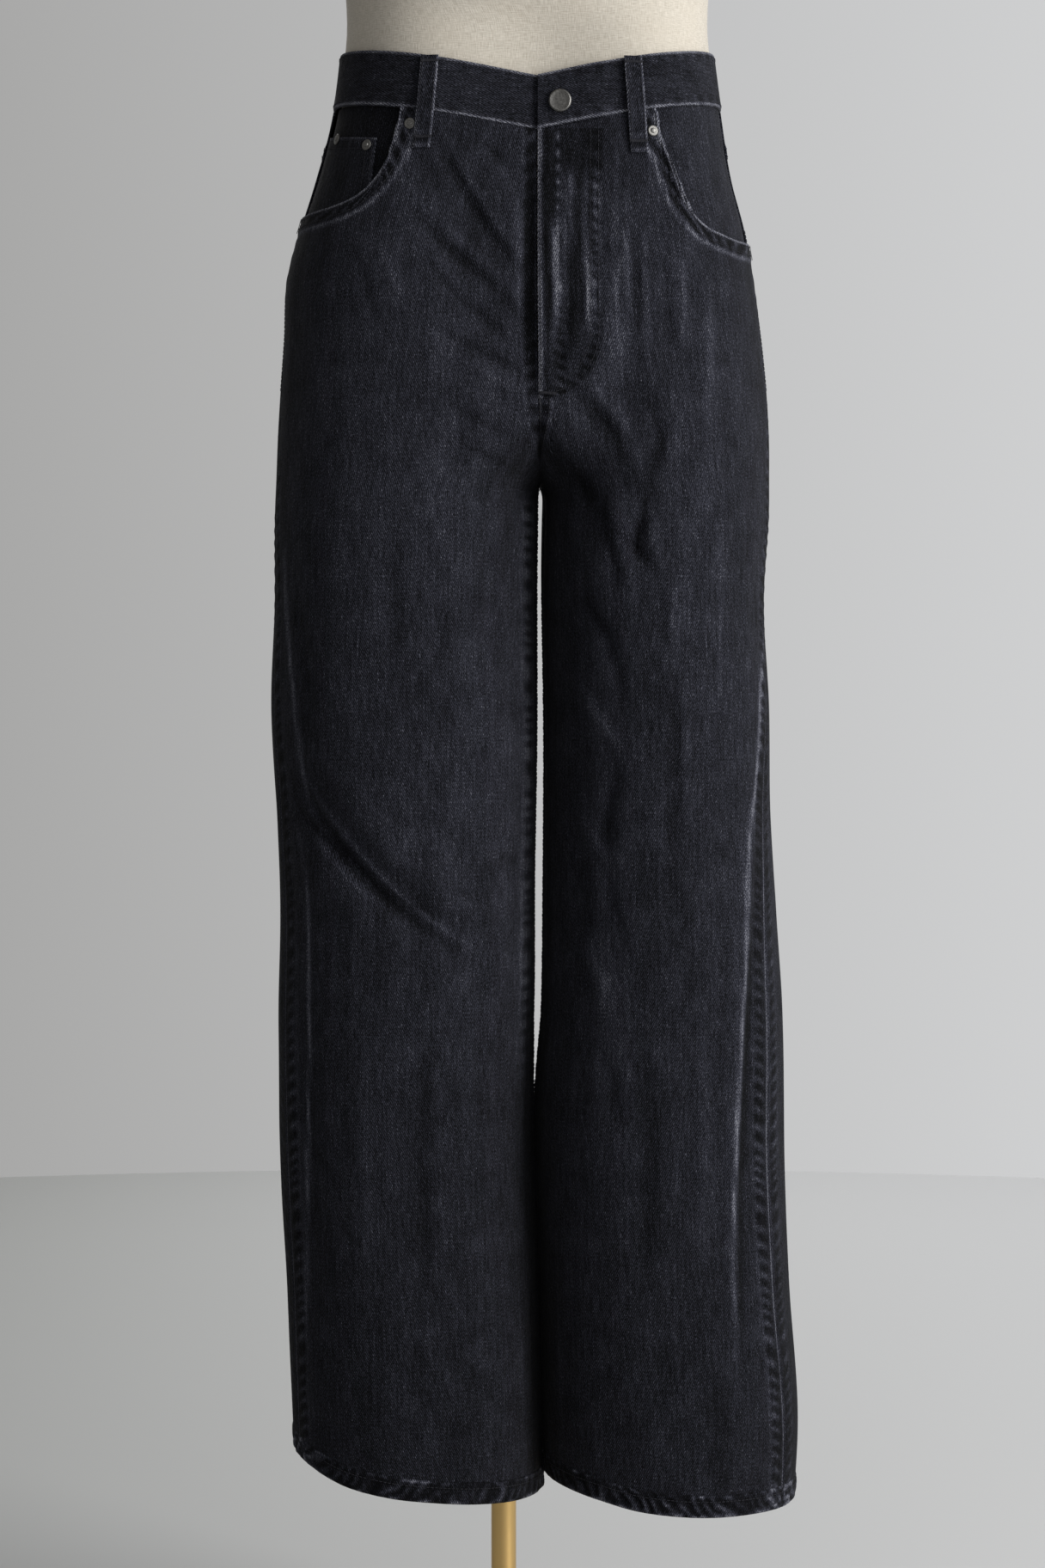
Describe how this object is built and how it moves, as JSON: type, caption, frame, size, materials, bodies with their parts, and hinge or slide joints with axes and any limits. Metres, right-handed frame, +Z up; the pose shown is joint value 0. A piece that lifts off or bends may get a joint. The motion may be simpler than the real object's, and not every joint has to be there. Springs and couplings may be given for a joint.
{
  "type": "wide leg jeans on a dress form stand",
  "caption": "Wide leg jeans worn on a limbless dress form, which stands on a pole and a round foot.",
  "frame": {"origin": "centre of the foot's flat underside, on the pole's axis, at floor level", "axes": "+Z up, -Y towards the front of the jeans, +X towards the wearer's left"},
  "size_m": [0.4039, 0.35, 1.725],
  "materials": {
    "denim": "washed black cotton twill, matt",
    "zip_tape": "woven tape, matt",
    "dark_metal": "dark nickel, worn",
    "form_cloth": "natural linen, matt",
    "stand_metal": "satin brass colour"
  },
  "bodies": {
    "root": {"front_left": "denim", "front_right": "denim", "back_left": "denim", "back_right": "denim", "yoke_left": "denim", "yoke_right": "denim", "waistband": "denim", "fly": "denim", "zip": "zip_tape", "pocket_facing_left": "denim", "pocket_facing_right": "denim", "coin_pocket": "denim", "back_pocket_left": "denim", "back_pocket_right": "denim", "hem_left": "denim", "hem_right": "denim", "belt_loop_1": "denim", "belt_loop_2": "denim", "belt_loop_3": "denim", "belt_loop_4": "denim", "belt_loop_5": "denim", "rivet_mouth_left": "dark_metal", "rivet_mouth_right": "dark_metal", "rivet_coin_inner": "dark_metal", "rivet_coin_outer": "dark_metal", "waist_button": "dark_metal", "dress_form": "form_cloth", "pole": "stand_metal", "base": "stand_metal"}
  },
  "joints": []
}
